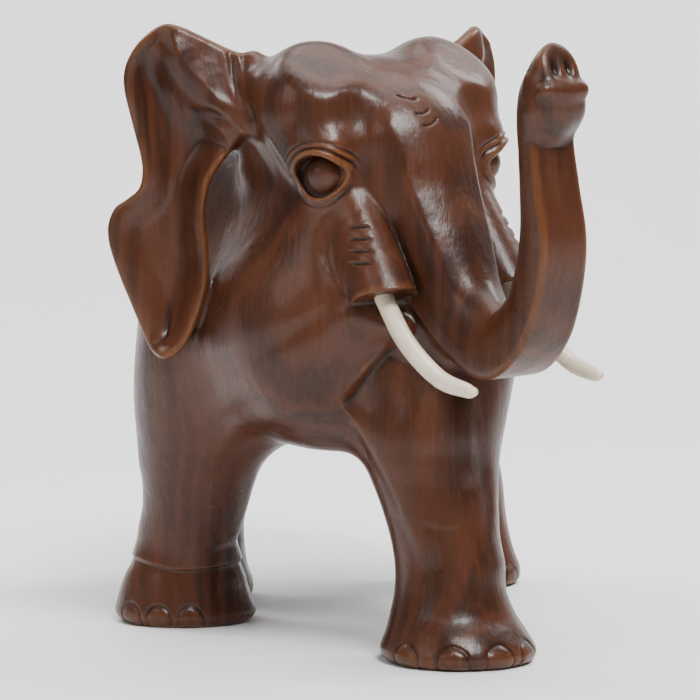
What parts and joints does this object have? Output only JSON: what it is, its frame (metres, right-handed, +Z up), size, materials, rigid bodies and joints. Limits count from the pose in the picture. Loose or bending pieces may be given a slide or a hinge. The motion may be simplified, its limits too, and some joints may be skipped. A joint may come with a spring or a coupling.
{
  "type": "carved elephant figurine",
  "caption": "Free-standing carved wooden elephant, walking with its head turned, ears spread and trunk raised, with glued-in tusks.",
  "frame": {"origin": "centre of the bounding box on the plane that the four soles stand on", "axes": "+Z up, -Y the way the body faces, +X to the animal's left"},
  "size_m": [0.2455, 0.4549, 0.3212],
  "materials": {
    "wood": "dark stain under satin lacquer, rubbed through to amber on the edges",
    "tusk": "polished cream resin",
    "eye": "dark stain under lacquer"
  },
  "bodies": {
    "root": {"torso": "wood", "head": "wood", "trunk": "wood", "tail": "wood", "leg_front_left": "wood", "leg_front_right": "wood", "leg_hind_left": "wood", "leg_hind_right": "wood", "ear_left": "wood", "ear_right": "wood", "tusk_left": "tusk", "tusk_right": "tusk", "eye_left": "eye", "eye_right": "eye"}
  },
  "joints": []
}
